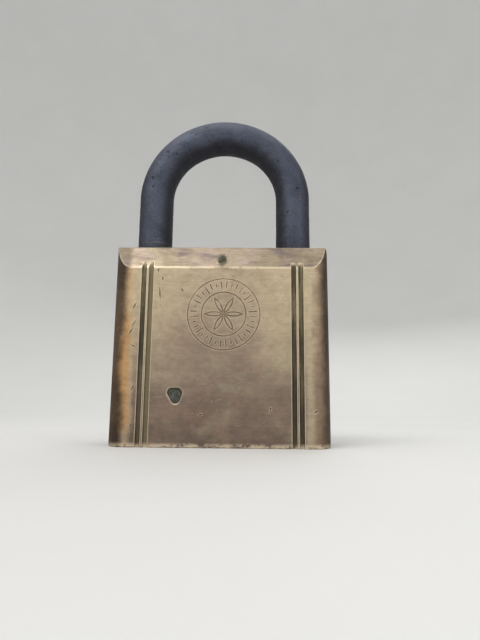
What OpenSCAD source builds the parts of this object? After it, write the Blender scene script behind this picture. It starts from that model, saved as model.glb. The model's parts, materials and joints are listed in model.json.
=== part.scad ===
// Solid brass padlock with a blackened steel shackle and a pin-tumbler lock.
// Origin: middle of the flat base. +Z runs up the shackle and the front looks towards -Y.
// The captive heel leg is on -X, and the free toe leg, which the bolt holds, is on +X.

/* [Case] */
// Width of the case, across its bowed sides
case_w = 57.15; // [54:0.05:72]
// Thickness of the case, front to back
case_t = 27.5; // [25:0.1:36]
// Height of the case
case_h = 50.8; // [48:0.1:66]
// Radius of the four upright corners
corner_r = 5; // [3:0.1:7]
// Radius of each bowed side
side_r = 36; // [24:0.5:44]
// Height of the sloping band along the top of the front and the back
slope_h = 6.2; // [3:0.1:8]
// How far the sloping band leans in
slope_in = 3.2; // [2:0.1:6]

/* [Grooves] */
// Distance from the middle of the pattern to each pair of grooves
groove_x = 18.85; // [14:0.01:20]
// How far the whole groove pattern sits to the right of the middle
groove_shift = 0.45; // [0:0.05:1]
// Spacing of the two grooves in a pair
groove_pitch = 1.78; // [1.5:0.01:3]
// Radius of the round bottom of a groove
groove_r = 0.64; // [0.4:0.01:0.7]
// Depth of a groove
groove_depth = 0.8; // [0.3:0.05:1.2]

/* [Shackle] */
// Diameter of the shackle bar
bar_d = 9.525; // [7:0.005:11.5]
// Brass between each leg's bore and the outside of the case
leg_wall = 4.22; // [3:0.01:5]
// Clear height between the case and the inside of the crown
crown_clear = 31.8; // [27:0.1:60]
// How deep the toe leg goes into the case
toe_depth = 14; // [12:0.1:17]
// How much thinner than the bar the heel's turned neck is, on the radius
neck_cut = 1.6; // [1.2:0.05:1.8]
// Length of the full-size end left below the neck
heel_foot = 3; // [2:0.1:4]

/* [Lock cylinder] */
// Radius of the shell that slides into the case from below
shell_r = 11.1; // [10.2:0.05:12]
// Radius of the plug that the key turns
plug_r = 6.35; // [5.5:0.05:7.7]
// Brass between the plug and the front of the shell
plug_wall = 1.1; // [0.9:0.05:1.5]
// Height of the lowest pin above the base
first_pin_z = 5; // [4:0.1:6]
// Spacing of the pins
pin_pitch = 3.8; // [3.4:0.05:4.2]
// Radius of the pin chambers
chamber_r = 1.48; // [1.2:0.01:1.6]
// Cut depth that each key pin rides on, from the lowest pin up, one pin to a number
pin_cuts = [2, 4, 1, 3, 2]; // [0:1:4]
// Length of a driver pin
driver_len = 3; // [2:0.1:3.6]
// Rise of a pin spring for each of its turns
pin_spring_pitch = 0.56; // [0.4:0.01:0.8]

/* [Bolt] */
// Width of the bolt, front to back
bolt_w = 6; // [5:0.1:7.2]
// Height of the bolt
bolt_h = 6; // [5:0.1:7.2]
// Brass over the bolt's channel
bolt_roof = 3.65; // [2.5:0.05:5]
// Distance from the plug's axis back to the middle of the bolt
bolt_back = 3.6; // [3.2:0.05:4.2]
// How far the bolt reaches into the toe leg
bolt_grip = 1.7; // [1.2:0.05:2]
// How far the turning plug draws the bolt back
bolt_draw = 6.4; // [5:0.1:7]
// Rise of the bolt's bevelled nose for each millimetre along it
nose_slope = 1.6; // [1.2:0.05:2]
// Radius of the pocket below the bolt
pocket_r = 9.3; // [8:0.1:10]

/* [Pins] */
// Radius of the cross pin that keeps the shell in the case
cross_pin_r = 1.75; // [1.3:0.05:2]
// Height of that pin above the base
cross_pin_z = 12.4; // [9:0.1:18]
// How far the pin's end lies below the front face
cross_pin_sunk = 0.55; // [0.1:0.05:1]
// Radius of the stud that keeps the heel leg in the case
stud_r = 1.5; // [1.2:0.05:2]

/* [Hidden] */
pin_count = len(pin_cuts);
PIN_NUMBERS = [1:pin_count];

brass = [0.62, 0.54, 0.42];
bright_brass = [0.78, 0.66, 0.40];
dark_steel = [0.29, 0.31, 0.37];
plain_steel = [0.56, 0.57, 0.58];

// How far a cutting shape runs past the face that it opens
past = 1;
$fn = 96;

// Clearances, each measured as the gap on one side
leg_gap = 0.14;       // shackle leg in its bore
shell_gap = 0.05;     // shell in the case
plug_gap = 0.05;      // plug in the shell
pin_gap = 0.06;       // tumbler pin in its chamber
press_gap = 0.02;     // pressed pin or cap in its hole
slide_gap = 0.15;     // bolt in its channel
stop_gap = 0.3;       // shoulder, stud and notch faces
crank_gap = 0.25;     // crank pin in the bolt's slot, and crank under the bolt
tongue_gap = 0.1;     // tailpiece's tongue in the plug's slot
flange_gap = 0.3;     // tailpiece's flange over the shell
lift_over = 0.6;      // toe leg's end over the case when the shackle is up
latch_roof_gap = 0.4; // top of the toe leg's notch over the bolt

// Case
half_w = case_w / 2;
half_t = case_t / 2;
side_cx = half_w - side_r;
corner_y = half_t - corner_r;
corner_x = side_cx + sqrt(pow(side_r - corner_r, 2) - pow(corner_y, 2));
side_angle = atan2(corner_y, corner_x - side_cx);

// Shackle: its legs, its travel and its crown
bar_r = bar_d / 2;
leg_bore_r = bar_r + leg_gap;
leg_x = half_w - leg_wall - leg_bore_r;
crown_z = case_h + crown_clear + bar_r - leg_x;
lift = toe_depth + lift_over;
toe_end = case_h - toe_depth;
toe_floor = toe_end - 1;
toe_chamfer = 1;
neck_r = bar_r - neck_cut;

// Lock cylinder
plug_y = plug_r + plug_gap + plug_wall - shell_r;
shear_y = plug_y + plug_r;
face_recess = 0.35;
last_pin_z = first_pin_z + (pin_count - 1) * pin_pitch;
plug_pin_r = 0.75;
plug_pin_x = plug_r - 0.05;
plug_groove_deep = 0.9;
plug_groove_z = last_pin_z + chamber_r + 1.7;
tail_slot_deep = 2.6;
tongue_w = 2;
tongue_len = 8;
shell_top = plug_groove_z + 2 + tail_slot_deep;
cap_len = 1.2;
cap_sunk = 0.3;
cap_y = shell_r - cap_sunk - cap_len;
driver_y = shear_y + 2 * plug_gap;
pin_r = chamber_r - pin_gap;
pin_tip = 0.7;
pin_wire_r = 0.16;
pin_spring_r = chamber_r - 0.42;
pin_reach_min = 3.9;
cut_step = 0.48;
keyway_w = 1.5;
keyway_ward = 0.75;
keyway_y = plug_y - plug_r + 1;
keyway_top = last_pin_z + chamber_r + 0.3;

// Bolt, and the crank that draws it: the crank pin starts 45 degrees round and ends at 135
bolt_top = case_h - bolt_roof - slide_gap;
bolt_z = bolt_top - bolt_h;
bolt_y = plug_y + bolt_back;
pocket_z = shell_top + 0.2;
pocket_top = bolt_z - slide_gap;
crank_r = bolt_draw / sqrt(2);
crank_x = bolt_draw / 2;
crank_pin_r = 1.2;
crank_hub_r = 3.2;
crank_h = 2.4;
crank_top = bolt_z - crank_gap;
slot_half = crank_pin_r + crank_gap;
slot_deep = bolt_h - 1.4;
bolt_tail = 3.2;
bolt_tail_x = crank_x - slot_half - bolt_tail;
channel_end = bolt_tail_x - bolt_draw - 0.4;
nose_x = leg_x - bar_r + bolt_grip;
nose_len = bolt_grip + 0.2;
lift_per_draw = lift / bolt_draw;
// The flank under the bolt starts low enough for the rising notch never to catch the nose
latch_gap = (lift_per_draw - nose_slope) * bolt_grip + 0.35;

// Heel: the neck is long enough for the lift, between the stud and the foot
stud_above_floor = 4.8;
stud_z = pocket_z + stud_above_floor;
neck_top = stud_z + stud_r + stop_gap;
neck_bottom = stud_z - stud_r - lift - 0.2;
heel_end = neck_bottom - heel_foot;
heel_floor = 5;
spring_wire_r = 0.52;
spring_r = leg_bore_r - spring_wire_r - 0.6;
spring_turns = 7;
cross_pin_x = -(shell_r - 0.4);
cross_pin_back = 9;

// A cylinder of radius r along +Y, from y0 to y1
module along_y(r, y0, y1) {
    translate([0, y0, 0])
        rotate([-90, 0, 0])
            cylinder(r = r, h = y1 - y0);
}

// A cylinder of radius r along +X, from x0 to x1
module along_x(r, x0, x1) {
    translate([x0, 0, 0])
        rotate([0, 90, 0])
            cylinder(r = r, h = x1 - x0);
}

// Children drawn in the upright XZ plane, given a thickness w centred on the middle of the case
module upright_plate(w) {
    rotate([90, 0, 0])
        linear_extrude(w, center = true)
            children();
}

function pin_z(i) = first_pin_z + (i - 1) * pin_pitch;

// Coil spring along +Z from z = 0, as one closed skin: rings of points, joined by triangles
function coil_points(mean_r, wire_r, length, turns, steps, sides) = [
    for (i = [0:turns * steps])
        let (turn = 360 * i / steps)
        let (z = wire_r + (length - 2 * wire_r) * i / (turns * steps))
        for (j = [0:sides - 1])
            let (ring_r = mean_r + wire_r * cos(360 * j / sides))
            [ring_r * cos(turn), ring_r * sin(turn), z + wire_r * sin(360 * j / sides)]
];

function coil_faces(rings, sides) = concat(
    [[for (j = [sides - 1:-1:0]) j]],
    [for (i = [0:rings - 2]) for (j = [0:sides - 1])
        [i * sides + j, i * sides + (j + 1) % sides, (i + 1) * sides + (j + 1) % sides]],
    [for (i = [0:rings - 2]) for (j = [0:sides - 1])
        [i * sides + j, (i + 1) * sides + (j + 1) % sides, (i + 1) * sides + j]],
    [[for (j = [0:sides - 1]) (rings - 1) * sides + j]]
);

module coil(mean_r, wire_r, length, turns, steps, sides) {
    polyhedron(
        points = coil_points(mean_r, wire_r, length, turns, steps, sides),
        faces = coil_faces(turns * steps + 1, sides),
        convexity = 10
    );
}

// Plan of the case: flat front and back, bowed sides, and corners that run smoothly into both
module case_plan() {
    reach = side_r / cos(side_angle) + past;
    square([2 * corner_x, case_t], center = true);
    for (side = [0, 1]) mirror([side, 0]) {
        for (end = [-1, 1])
            translate([corner_x, end * corner_y])
                circle(corner_r);
        intersection() {
            translate([side_cx, 0])
                circle(side_r, $fn = 180);
            polygon([
                [side_cx, 0],
                [side_cx + reach * cos(side_angle), -reach * sin(side_angle)],
                [side_cx + reach * cos(side_angle), reach * sin(side_angle)]
            ]);
        }
    }
}

// Wedge that cuts the sloping band along the top of the front
module slope_cut() {
    rotate([90, 0, 90])
        linear_extrude(case_w + 2 * past, center = true)
            polygon([
                [-half_t - slope_in / 2, case_h - 1.5 * slope_h],
                [-half_t + 1.5 * slope_in, case_h + slope_h / 2],
                [-half_t - slope_in / 2, case_h + slope_h / 2]
            ]);
}

module groove_cuts() {
    for (face = [-1, 1], side = [-1, 1], one = [-0.5, 0.5])
        translate([
            groove_shift + side * groove_x + one * groove_pitch,
            face * (half_t - groove_depth + groove_r),
            -past
        ])
            cylinder(r = groove_r, h = case_h + past, $fn = 32);
}

// Holes and spaces that the works fill
module case_bores() {
    translate([-leg_x, 0, heel_floor])
        cylinder(r = leg_bore_r, h = case_h);
    translate([leg_x, 0, toe_floor])
        cylinder(r = leg_bore_r, h = case_h);
    translate([0, 0, -past])
        cylinder(r = shell_r + shell_gap, h = pocket_z + past);
    cylinder(r = pocket_r, h = pocket_top);
    translate([channel_end, bolt_y - bolt_w / 2 - slide_gap, pocket_top])
        cube([
            leg_x - channel_end,
            bolt_w + 2 * slide_gap,
            bolt_h + 2 * slide_gap
        ]);
    translate([cross_pin_x, 0, cross_pin_z])
        along_y(cross_pin_r + press_gap, -half_t - past, cross_pin_back + 0.3);
    translate([0, 0, stud_z])
        along_x(stud_r + press_gap, -leg_x, -pocket_r + past);
}

module case() {
    color(brass) difference() {
        linear_extrude(case_h)
            case_plan();
        slope_cut();
        mirror([0, 1, 0])
            slope_cut();
        groove_cuts();
        case_bores();
    }
}

// Space for the bolt's nose: flat above it, and sloping below it like the nose itself
module toe_notch() {
    mouth_x = leg_x - bar_r - past;
    floor_x = nose_x + stop_gap;
    flank_z = bolt_z - latch_gap - nose_slope * (nose_x - nose_len);
    upright_plate(bar_d + 2 * past)
        polygon([
            [mouth_x, flank_z + nose_slope * mouth_x],
            [floor_x, flank_z + nose_slope * floor_x],
            [floor_x, bolt_top + latch_roof_gap],
            [mouth_x, bolt_top + latch_roof_gap]
        ]);
}

module shackle() {
    color(dark_steel) difference() {
        union() {
            translate([-leg_x, 0, 0])
                rotate_extrude()
                    polygon([
                        [0, heel_end],
                        [bar_r - toe_chamfer, heel_end],
                        [bar_r, heel_end + toe_chamfer],
                        [bar_r, neck_bottom],
                        [neck_r, neck_bottom],
                        [neck_r, neck_top],
                        [bar_r, neck_top],
                        [bar_r, crown_z],
                        [0, crown_z]
                    ]);
            translate([leg_x, 0, 0])
                rotate_extrude()
                    polygon([
                        [0, toe_end],
                        [bar_r - toe_chamfer, toe_end],
                        [bar_r, toe_end + toe_chamfer],
                        [bar_r, crown_z],
                        [0, crown_z]
                    ]);
            translate([0, 0, crown_z])
                rotate([90, 0, 0])
                    rotate_extrude(angle = 180)
                        translate([leg_x, 0])
                            circle(bar_r);
        }
        toe_notch();
    }
}

module shackle_spring() {
    color(plain_steel)
        translate([-leg_x, 0, heel_floor + press_gap])
            coil(spring_r, spring_wire_r, heel_end - heel_floor - 2 * press_gap, spring_turns, 20, 7);
}

// Stud through the brass between the pocket and the heel's bore
module heel_stud() {
    color(plain_steel)
        translate([0, 0, stud_z])
            along_x(stud_r, -leg_x + neck_r + stop_gap, -pocket_r - 0.2);
}

module bolt() {
    color(plain_steel) difference() {
        translate([0, bolt_y, 0])
            upright_plate(bolt_w)
                polygon([
                    [bolt_tail_x, bolt_z],
                    [nose_x - nose_len, bolt_z],
                    [nose_x, bolt_z + nose_slope * nose_len],
                    [nose_x, bolt_top],
                    [bolt_tail_x, bolt_top]
                ]);
        // Cross slot for the crank pin, which swings from this side of the plug's axis to its middle
        translate([crank_x - slot_half, plug_y + crank_x - slot_half, bolt_z - past])
            cube([2 * slot_half, crank_r - crank_x + 2 * slot_half, slot_deep + past]);
    }
}

// Crank between the plug and the bolt: tongue, flange, shaft, arm and pin in one
module tailpiece() {
    flange_r = pocket_r + plug_y - 0.5;
    flange_h = 1.2;
    shaft_r = 2.6;
    shaft_z = shell_top + flange_gap + 0.2;
    color(plain_steel) translate([0, plug_y, 0]) {
        translate([-tongue_w / 2, -tongue_len / 2, shell_top - tail_slot_deep + 2 * tongue_gap])
            cube([tongue_w, tongue_len, tail_slot_deep + 2 * tongue_gap]);
        translate([0, 0, shell_top + flange_gap])
            cylinder(r = flange_r, h = flange_h);
        translate([0, 0, shaft_z])
            cylinder(r = shaft_r, h = crank_top - crank_h / 2 - shaft_z);
        translate([0, 0, crank_top - crank_h])
            cylinder(r = crank_hub_r, h = crank_h);
        rotate(45) {
            translate([0, -crank_pin_r - 0.5, crank_top - crank_h])
                cube([crank_r, 2 * crank_pin_r + 1, crank_h]);
            translate([crank_r, 0, crank_top - crank_h])
                cylinder(r = crank_pin_r + 0.5, h = crank_h);
            translate([crank_r, 0, crank_top - crank_h / 2])
                cylinder(r = crank_pin_r, h = crank_h / 2 + crank_gap + slot_deep - 0.3);
        }
    }
}

module cylinder_shell() {
    color(bright_brass) difference() {
        translate([0, 0, face_recess])
            cylinder(r = shell_r, h = shell_top - face_recess);
        translate([0, plug_y, 0])
            cylinder(r = plug_r + plug_gap, h = shell_top + past);
        for (i = PIN_NUMBERS)
            translate([0, 0, pin_z(i)])
                along_y(chamber_r, shear_y - past, shell_r + past);
        translate([cross_pin_x, 0, cross_pin_z])
            along_y(cross_pin_r + press_gap, -shell_r, shell_r);
        translate([-plug_pin_x, 0, plug_groove_z])
            along_y(plug_pin_r + press_gap, -shell_r, plug_y + 4);
    }
}

// Keyway in plan: a narrow slot with a ward groove on each side
module keyway() {
    translate([-keyway_w / 2, keyway_y])
        square([keyway_w, plug_r + 1]);
    translate([-keyway_w / 2 - keyway_ward, keyway_y + 2])
        square([keyway_ward + 0.1, 1.5]);
    translate([keyway_w / 2 - 0.1, keyway_y + 4.5])
        square([keyway_ward + 0.1, 1.5]);
}

module cylinder_plug() {
    pin_hole_y = shear_y - pin_reach_min - 4 * cut_step - pin_tip;
    color(bright_brass) difference() {
        translate([0, plug_y, face_recess])
            cylinder(r = plug_r, h = shell_top - face_recess);
        linear_extrude(keyway_top)
            keyway();
        for (i = PIN_NUMBERS)
            translate([0, 0, pin_z(i)])
                along_y(chamber_r, pin_hole_y, shear_y + past);
        translate([0, plug_y, plug_groove_z])
            rotate_extrude()
                translate([plug_r - plug_groove_deep, -plug_pin_r - 0.1])
                    square([plug_groove_deep + past, 2 * plug_pin_r + 0.2]);
        translate([
            -tongue_w / 2 - tongue_gap,
            plug_y - tongue_len / 2 - tongue_gap,
            shell_top - tail_slot_deep
        ])
            cube([tongue_w + 2 * tongue_gap, tongue_len + 2 * tongue_gap, tail_slot_deep + past]);
    }
}

// Short pin in the shell that rides in the plug's groove and keeps the plug from sliding out
module plug_pin() {
    start_y = 0.3 - sqrt(pow(shell_r, 2) - pow(plug_pin_x + plug_pin_r, 2));
    color(plain_steel)
        translate([-plug_pin_x, 0, plug_groove_z])
            along_y(plug_pin_r, start_y, plug_y + 3.8);
}

// Cross pin that locks the shell into the case, and shows on the front
module retaining_pin() {
    color(dark_steel)
        translate([cross_pin_x, 0, cross_pin_z])
            along_y(cross_pin_r, -half_t + cross_pin_sunk, cross_pin_back);
}

// Key pin i, standing where a cut key would hold it: its head is on the shear line
module key_pin(i) {
    reach = pin_reach_min + cut_step * pin_cuts[i - 1];
    color(bright_brass) intersection() {
        translate([0, 0, pin_z(i)]) union() {
            along_y(pin_r, shear_y - reach, shear_y);
            translate([0, shear_y - reach - pin_tip, 0])
                rotate([-90, 0, 0])
                    cylinder(r1 = pin_r - pin_tip, r2 = pin_r, h = pin_tip);
        }
        translate([0, plug_y, 0])
            cylinder(r = plug_r - plug_gap, h = shell_top);
    }
}

// Driver pin i: its inner end is hollowed to clear the turning plug
module driver_pin(i) {
    color(plain_steel) difference() {
        translate([0, 0, pin_z(i)])
            along_y(pin_r, shear_y - past, driver_y + driver_len);
        translate([0, plug_y, 0])
            cylinder(r = plug_r + 2 * plug_gap, h = shell_top);
    }
}

module pin_spring(i) {
    spring_y = driver_y + driver_len + press_gap;
    spring_len = cap_y - press_gap - spring_y;
    turns = max(1, floor((spring_len - 2 * pin_wire_r) / pin_spring_pitch));
    color(plain_steel)
        translate([0, spring_y, pin_z(i)])
            rotate([-90, 0, 0])
                coil(pin_spring_r, pin_wire_r, spring_len, turns, 12, 5);
}

module chamber_cap(i) {
    color(brass)
        translate([0, 0, pin_z(i)])
            along_y(chamber_r - press_gap, cap_y, cap_y + cap_len);
}

case();
shackle();
shackle_spring();
heel_stud();
bolt();
tailpiece();
cylinder_shell();
cylinder_plug();
plug_pin();
retaining_pin();
for (i = PIN_NUMBERS) {
    key_pin(i);
    driver_pin(i);
    pin_spring(i);
    chamber_cap(i);
}
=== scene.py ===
# %% [markdown]
# # A worn brass padlock
# A padlock of this kind is a block of brass with a bent steel bar on top. This lesson gives
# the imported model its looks: the handled brass, the blackened and pitted shackle, and the
# machined parts inside. The frame holds the real sizes, so every place below is read from it.

import json
import math
import random
from itertools import product
from types import SimpleNamespace

import bmesh
import bpy
from mathutils import Matrix, Quaternion, Vector, noise

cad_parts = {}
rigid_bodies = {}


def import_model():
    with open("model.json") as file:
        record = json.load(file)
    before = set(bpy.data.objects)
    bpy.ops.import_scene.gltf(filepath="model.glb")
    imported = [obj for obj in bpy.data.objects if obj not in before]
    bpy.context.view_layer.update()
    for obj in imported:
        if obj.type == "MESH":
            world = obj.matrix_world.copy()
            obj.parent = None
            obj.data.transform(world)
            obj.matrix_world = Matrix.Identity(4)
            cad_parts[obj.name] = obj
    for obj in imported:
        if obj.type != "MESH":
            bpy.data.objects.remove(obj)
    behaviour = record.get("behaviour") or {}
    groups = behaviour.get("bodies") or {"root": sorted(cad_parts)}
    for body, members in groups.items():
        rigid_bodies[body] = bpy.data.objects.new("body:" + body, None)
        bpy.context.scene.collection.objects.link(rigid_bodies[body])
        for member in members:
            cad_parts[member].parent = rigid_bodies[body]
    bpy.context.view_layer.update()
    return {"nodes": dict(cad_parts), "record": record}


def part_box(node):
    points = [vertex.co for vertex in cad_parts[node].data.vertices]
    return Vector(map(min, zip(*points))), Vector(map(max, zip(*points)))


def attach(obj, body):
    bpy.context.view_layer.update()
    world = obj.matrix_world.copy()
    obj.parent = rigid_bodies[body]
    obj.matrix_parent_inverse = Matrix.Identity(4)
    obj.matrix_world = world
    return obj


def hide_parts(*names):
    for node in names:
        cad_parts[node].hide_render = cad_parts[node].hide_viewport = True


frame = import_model()
nodes = frame["nodes"]
print("nodes in the frame:", len(nodes))

# %% [markdown]
# ## Sizes
# Blender works in metres. The boxes of the frame's nodes give most sizes. A box can't tell
# how round a corner is, so the few radii and band widths are written here once.

# %% Sizes read from the frame
MM = 0.001
case_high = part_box("case")[1]
half_w, half_t, case_h = case_high.x, case_high.y, case_high.z
shackle_low, shackle_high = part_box("shackle")
bar_r = shackle_high.y
leg_x = shackle_high.x - bar_r
crown_z = shackle_high.z - bar_r - leg_x
shell_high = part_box("cylinder_shell")[1]
pin_low, pin_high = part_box("retaining_pin")
bolt_low, bolt_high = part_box("bolt")
stud_low, stud_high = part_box("heel_stud")
stud_z = (stud_low.z + stud_high.z) / 2
stud_r = (stud_high.z - stud_low.z) / 2
print(f"case {2 * half_w / MM:.1f} x {2 * half_t / MM:.1f} x {case_h / MM:.1f} mm")
print(f"bar {2 * bar_r / MM:.2f} mm, legs {2 * leg_x / MM:.1f} mm apart")

# %% Sizes that a box can't give
side_r = 36 * MM
corner_r = 5 * MM
side_cx = half_w - side_r
corner_y = half_t - corner_r
corner_x = side_cx + math.sqrt((side_r - corner_r) ** 2 - corner_y ** 2)
slope_h = 6.2 * MM
slope_in = 3.2 * MM
slope_foot = case_h - slope_h
groove_x = 18.85 * MM
groove_shift = 0.45 * MM
groove_pitch = 1.78 * MM
groove_r = 0.64 * MM
groove_depth = 0.8 * MM
leg_bore_r = bar_r + 0.14 * MM
heel_floor = 5 * MM
toe_floor = case_h - 15 * MM
toe_end = case_h - 14 * MM
bolt_gap = 0.15 * MM
pocket_r = 9.3 * MM
emblem = Vector((0.95 * MM, -half_t, 32.5 * MM))
print(f"the front turns into the sides {corner_x / MM:.1f} mm from the middle")

# %% [markdown]
# ## Stage and camera
# A low camera close to the front shows the case almost straight on, and looks up a little
# at the crown. The floor turns up into a wall all round, so no horizon line shows and
# metal sees the same pale surface from every side.

# %% Stage: one dish spun from a profile
def add_object(name, data):
    """A new object at the origin, linked into the scene."""
    obj = bpy.data.objects.new(name, data)
    bpy.context.scene.collection.objects.link(obj)
    return obj


def finish_mesh(bm, name):
    """Turns a bmesh into an object."""
    mesh = bpy.data.meshes.new(name)
    bm.to_mesh(mesh)
    bm.free()
    return add_object(name, mesh)


def make_stage():
    floor_r, bend_r, wall_h = 0.25, 0.9, 1.7
    bm = bmesh.new()
    profile = [Vector((0, 0, 0)), Vector((floor_r, 0, 0))]
    for i in range(1, 25):
        a = math.radians(90 * i / 24)
        profile.append(Vector((floor_r + bend_r * math.sin(a), 0, bend_r * (1 - math.cos(a)))))
    profile.append(Vector((floor_r + bend_r, 0, wall_h)))
    verts = [bm.verts.new(p) for p in profile]
    edges = [bm.edges.new(pair) for pair in zip(verts, verts[1:])]
    bmesh.ops.spin(bm, geom=verts + edges, cent=(0, 0, 0), axis=(0, 0, 1), angle=math.tau,
                   steps=96, use_merge=True, use_duplicate=False)
    bmesh.ops.remove_doubles(bm, verts=bm.verts, dist=1e-6)
    bmesh.ops.recalc_face_normals(bm, faces=bm.faces)
    for face in bm.faces:
        face.smooth = True
    dish = finish_mesh(bm, "studio_dish")
    return dish


stage = make_stage()
print("stage:", len(stage.data.polygons), "faces")

# %% Camera
camera_place = Vector((0.0076, -0.1358, 0.0096))
camera_lens = 28.125
pitch, yaw, roll = (math.radians(angle) for angle in (9.94, -1.2, 0.56))


def make_camera():
    data = bpy.data.cameras.new("camera")
    data.sensor_width = 36
    data.lens = camera_lens
    data.clip_start = 0.001
    data.clip_end = 20
    cam = add_object("camera", data)
    cam.location = camera_place
    level = math.cos(pitch)
    forward = Vector((math.sin(yaw) * level, math.cos(yaw) * level, math.sin(pitch)))
    cam.rotation_mode = "QUATERNION"
    cam.rotation_quaternion = forward.to_track_quat("-Z", "Y") @ Quaternion((0, 0, 1), roll)
    bpy.context.scene.camera = cam


make_camera()
print("camera placed")

# %% [markdown]
# ## Carving
# The real case is a block that was drilled, milled and stamped, so the model is made the
# same way: a plain block, and cutting shapes taken away from it with exact booleans.

# %% Helpers that cut one mesh with another
def add_drill(bm, radius, start, end, segments=48, end_radius=None):
    """A round cutter from start to end, straight unless it has an end_radius of its own."""
    axis = end - start
    turn = axis.to_track_quat("Z", "Y").to_matrix().to_4x4()
    bmesh.ops.create_cone(
        bm, cap_ends=True, segments=segments, radius1=radius,
        radius2=radius if end_radius is None else end_radius, depth=axis.length,
        matrix=Matrix.Translation((start + end) / 2) @ turn)


def add_block(bm, low, high):
    place = Matrix.Translation((low + high) / 2) @ Matrix.Diagonal((*(high - low), 1))
    bmesh.ops.create_cube(bm, size=1, matrix=place)


def verts_of(geom):
    return [part for part in geom if isinstance(part, bmesh.types.BMVert)]


def edges_of(geom):
    return [part for part in geom if isinstance(part, bmesh.types.BMEdge)]


def edges_at(verts):
    """The edges that meet the points, each once, in the same order on every run."""
    return list(dict.fromkeys(e for v in verts for e in v.link_edges))


def apply_modifiers(obj):
    """Bakes the modifiers of obj into its mesh."""
    graph = bpy.context.evaluated_depsgraph_get()
    done = bpy.data.meshes.new_from_object(obj.evaluated_get(graph))
    old = obj.data
    obj.modifiers.clear()
    obj.data = done
    bpy.data.meshes.remove(old)


def carve(obj, *fills, self_cross=False):
    """Each fill(bm) fills a bmesh with cutters, which are then taken away from obj."""
    for fill in fills:
        bm = bmesh.new()
        fill(bm)
        cutter = finish_mesh(bm, "cutter")
        cut = obj.modifiers.new("cut", "BOOLEAN")
        cut.object = cutter
        cut.operation = "DIFFERENCE"
        cut.solver = "EXACT"
        cut.use_self = self_cross
        apply_modifiers(obj)
        mesh = cutter.data
        bpy.data.objects.remove(cutter)
        bpy.data.meshes.remove(mesh)
        print(f"  {obj.name}: {len(obj.data.polygons)} faces after {fill.__name__}")


# %% [markdown]
# ## Case block
# Seen from above, the case has a flat front and back, bowed sides, and corners that run
# smoothly into both. A quarter of that outline is two arcs, and mirroring gives the rest.

# %% Outline and block
def case_outline():
    meet = math.atan2(corner_y, corner_x - side_cx)
    quarter = [Vector((side_cx + side_r * math.cos(a), side_r * math.sin(a), 0))
               for a in (meet * i / 10 for i in range(11))]
    quarter += [Vector((corner_x + corner_r * math.cos(a), corner_y + corner_r * math.sin(a), 0))
                for a in (meet + (math.pi / 2 - meet) * i / 8 for i in range(1, 9))]
    half = quarter + [Vector((-p.x, p.y, 0)) for p in reversed(quarter)]
    return half + [Vector((p.x, -p.y, 0)) for p in reversed(half[1:-1])]


def round_sharp_edges(bm, radius, least_angle=22):
    least = math.radians(least_angle)
    sharp = [e for e in bm.edges if len(e.link_faces) == 2 and e.calc_face_angle(0) > least]
    bmesh.ops.bevel(bm, geom=sharp, offset=radius, offset_type="OFFSET", segments=3, profile=0.5,
                    affect="EDGES", clamp_overlap=True, material=-1)


def make_case_block():
    bm = bmesh.new()
    base = bm.faces.new([bm.verts.new(p) for p in case_outline()])
    top = bmesh.ops.extrude_face_region(bm, geom=[base])["geom"]
    bmesh.ops.translate(bm, verts=verts_of(top), vec=(0, 0, case_h))
    for side in (-1, 1):
        cut = bmesh.ops.bisect_plane(
            bm, geom=bm.verts[:] + bm.edges[:] + bm.faces[:], dist=1e-7,
            plane_co=(0, side * half_t, slope_foot),
            plane_no=Vector((0, side * slope_h, slope_in)), clear_outer=True)
        bmesh.ops.edgenet_fill(bm, edges=edges_of(cut["geom_cut"]))
    bmesh.ops.recalc_face_normals(bm, faces=bm.faces)
    round_sharp_edges(bm, 0.35 * MM)
    return finish_mesh(bm, "case_body")


case = make_case_block()
print("case block:", len(case.data.polygons), "faces")

# %% [markdown]
# ## Bores, grooves and inner spaces
# The grooves are round-bottomed channels. Where they run out into the sloping band they leave
# pointed tips by themselves, so no tip is drawn. The spaces for the works are cut too, so the
# moving parts never pass through brass.

# %% Drilled and milled spaces
def joint_travel(name):
    """Upper limit of one of the record's joints."""
    joints = frame["record"]["behaviour"]["joints"]
    return next(j["range_m"][1] for j in joints if j["name"] == name)


lift = joint_travel("shackle_lift")
draw = joint_travel("bolt_draw")


def grooves(bm):
    for face, side, one in product((-1, 1), (-1, 1), (-0.5, 0.5)):
        x = groove_shift + side * groove_x + one * groove_pitch
        y = face * (half_t - groove_depth + groove_r)
        add_drill(bm, groove_r, Vector((x, y, -MM)), Vector((x, y, case_h + MM)), 24)


def leg_bores(bm):
    for x, floor in ((-leg_x, heel_floor), (leg_x, toe_floor)):
        add_drill(bm, leg_bore_r, Vector((x, 0, floor)), Vector((x, 0, case_h + MM)), 64)


def bore_chamfers(bm):
    chamfer = 0.3 * MM
    for x in (-leg_x, leg_x):
        add_drill(bm, leg_bore_r, Vector((x, 0, case_h - chamfer)),
                  Vector((x, 0, case_h + chamfer)), 64, leg_bore_r + 2 * chamfer)


def cylinder_bore(bm):
    radius = shell_high.x + 0.05 * MM
    add_drill(bm, radius, Vector((0, 0, -MM)), Vector((0, 0, shell_high.z + 0.2 * MM)), 96)


def works_pocket(bm):
    add_drill(bm, pocket_r, Vector((0, 0, shell_high.z)), Vector((0, 0, bolt_low.z - bolt_gap)), 64)


def bolt_channel(bm):
    add_block(bm, bolt_low - Vector((draw + 0.4 * MM, bolt_gap, bolt_gap)),
              Vector((leg_x, bolt_high.y + bolt_gap, bolt_high.z + bolt_gap)))


def stud_hole(bm):
    add_drill(bm, stud_r + 0.02 * MM, Vector((-leg_x, 0, stud_z)), Vector((-pocket_r + MM, 0, stud_z)), 32)


carve(case, grooves, leg_bores, bore_chamfers, cylinder_bore, works_pocket, bolt_channel, stud_hole)

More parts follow.
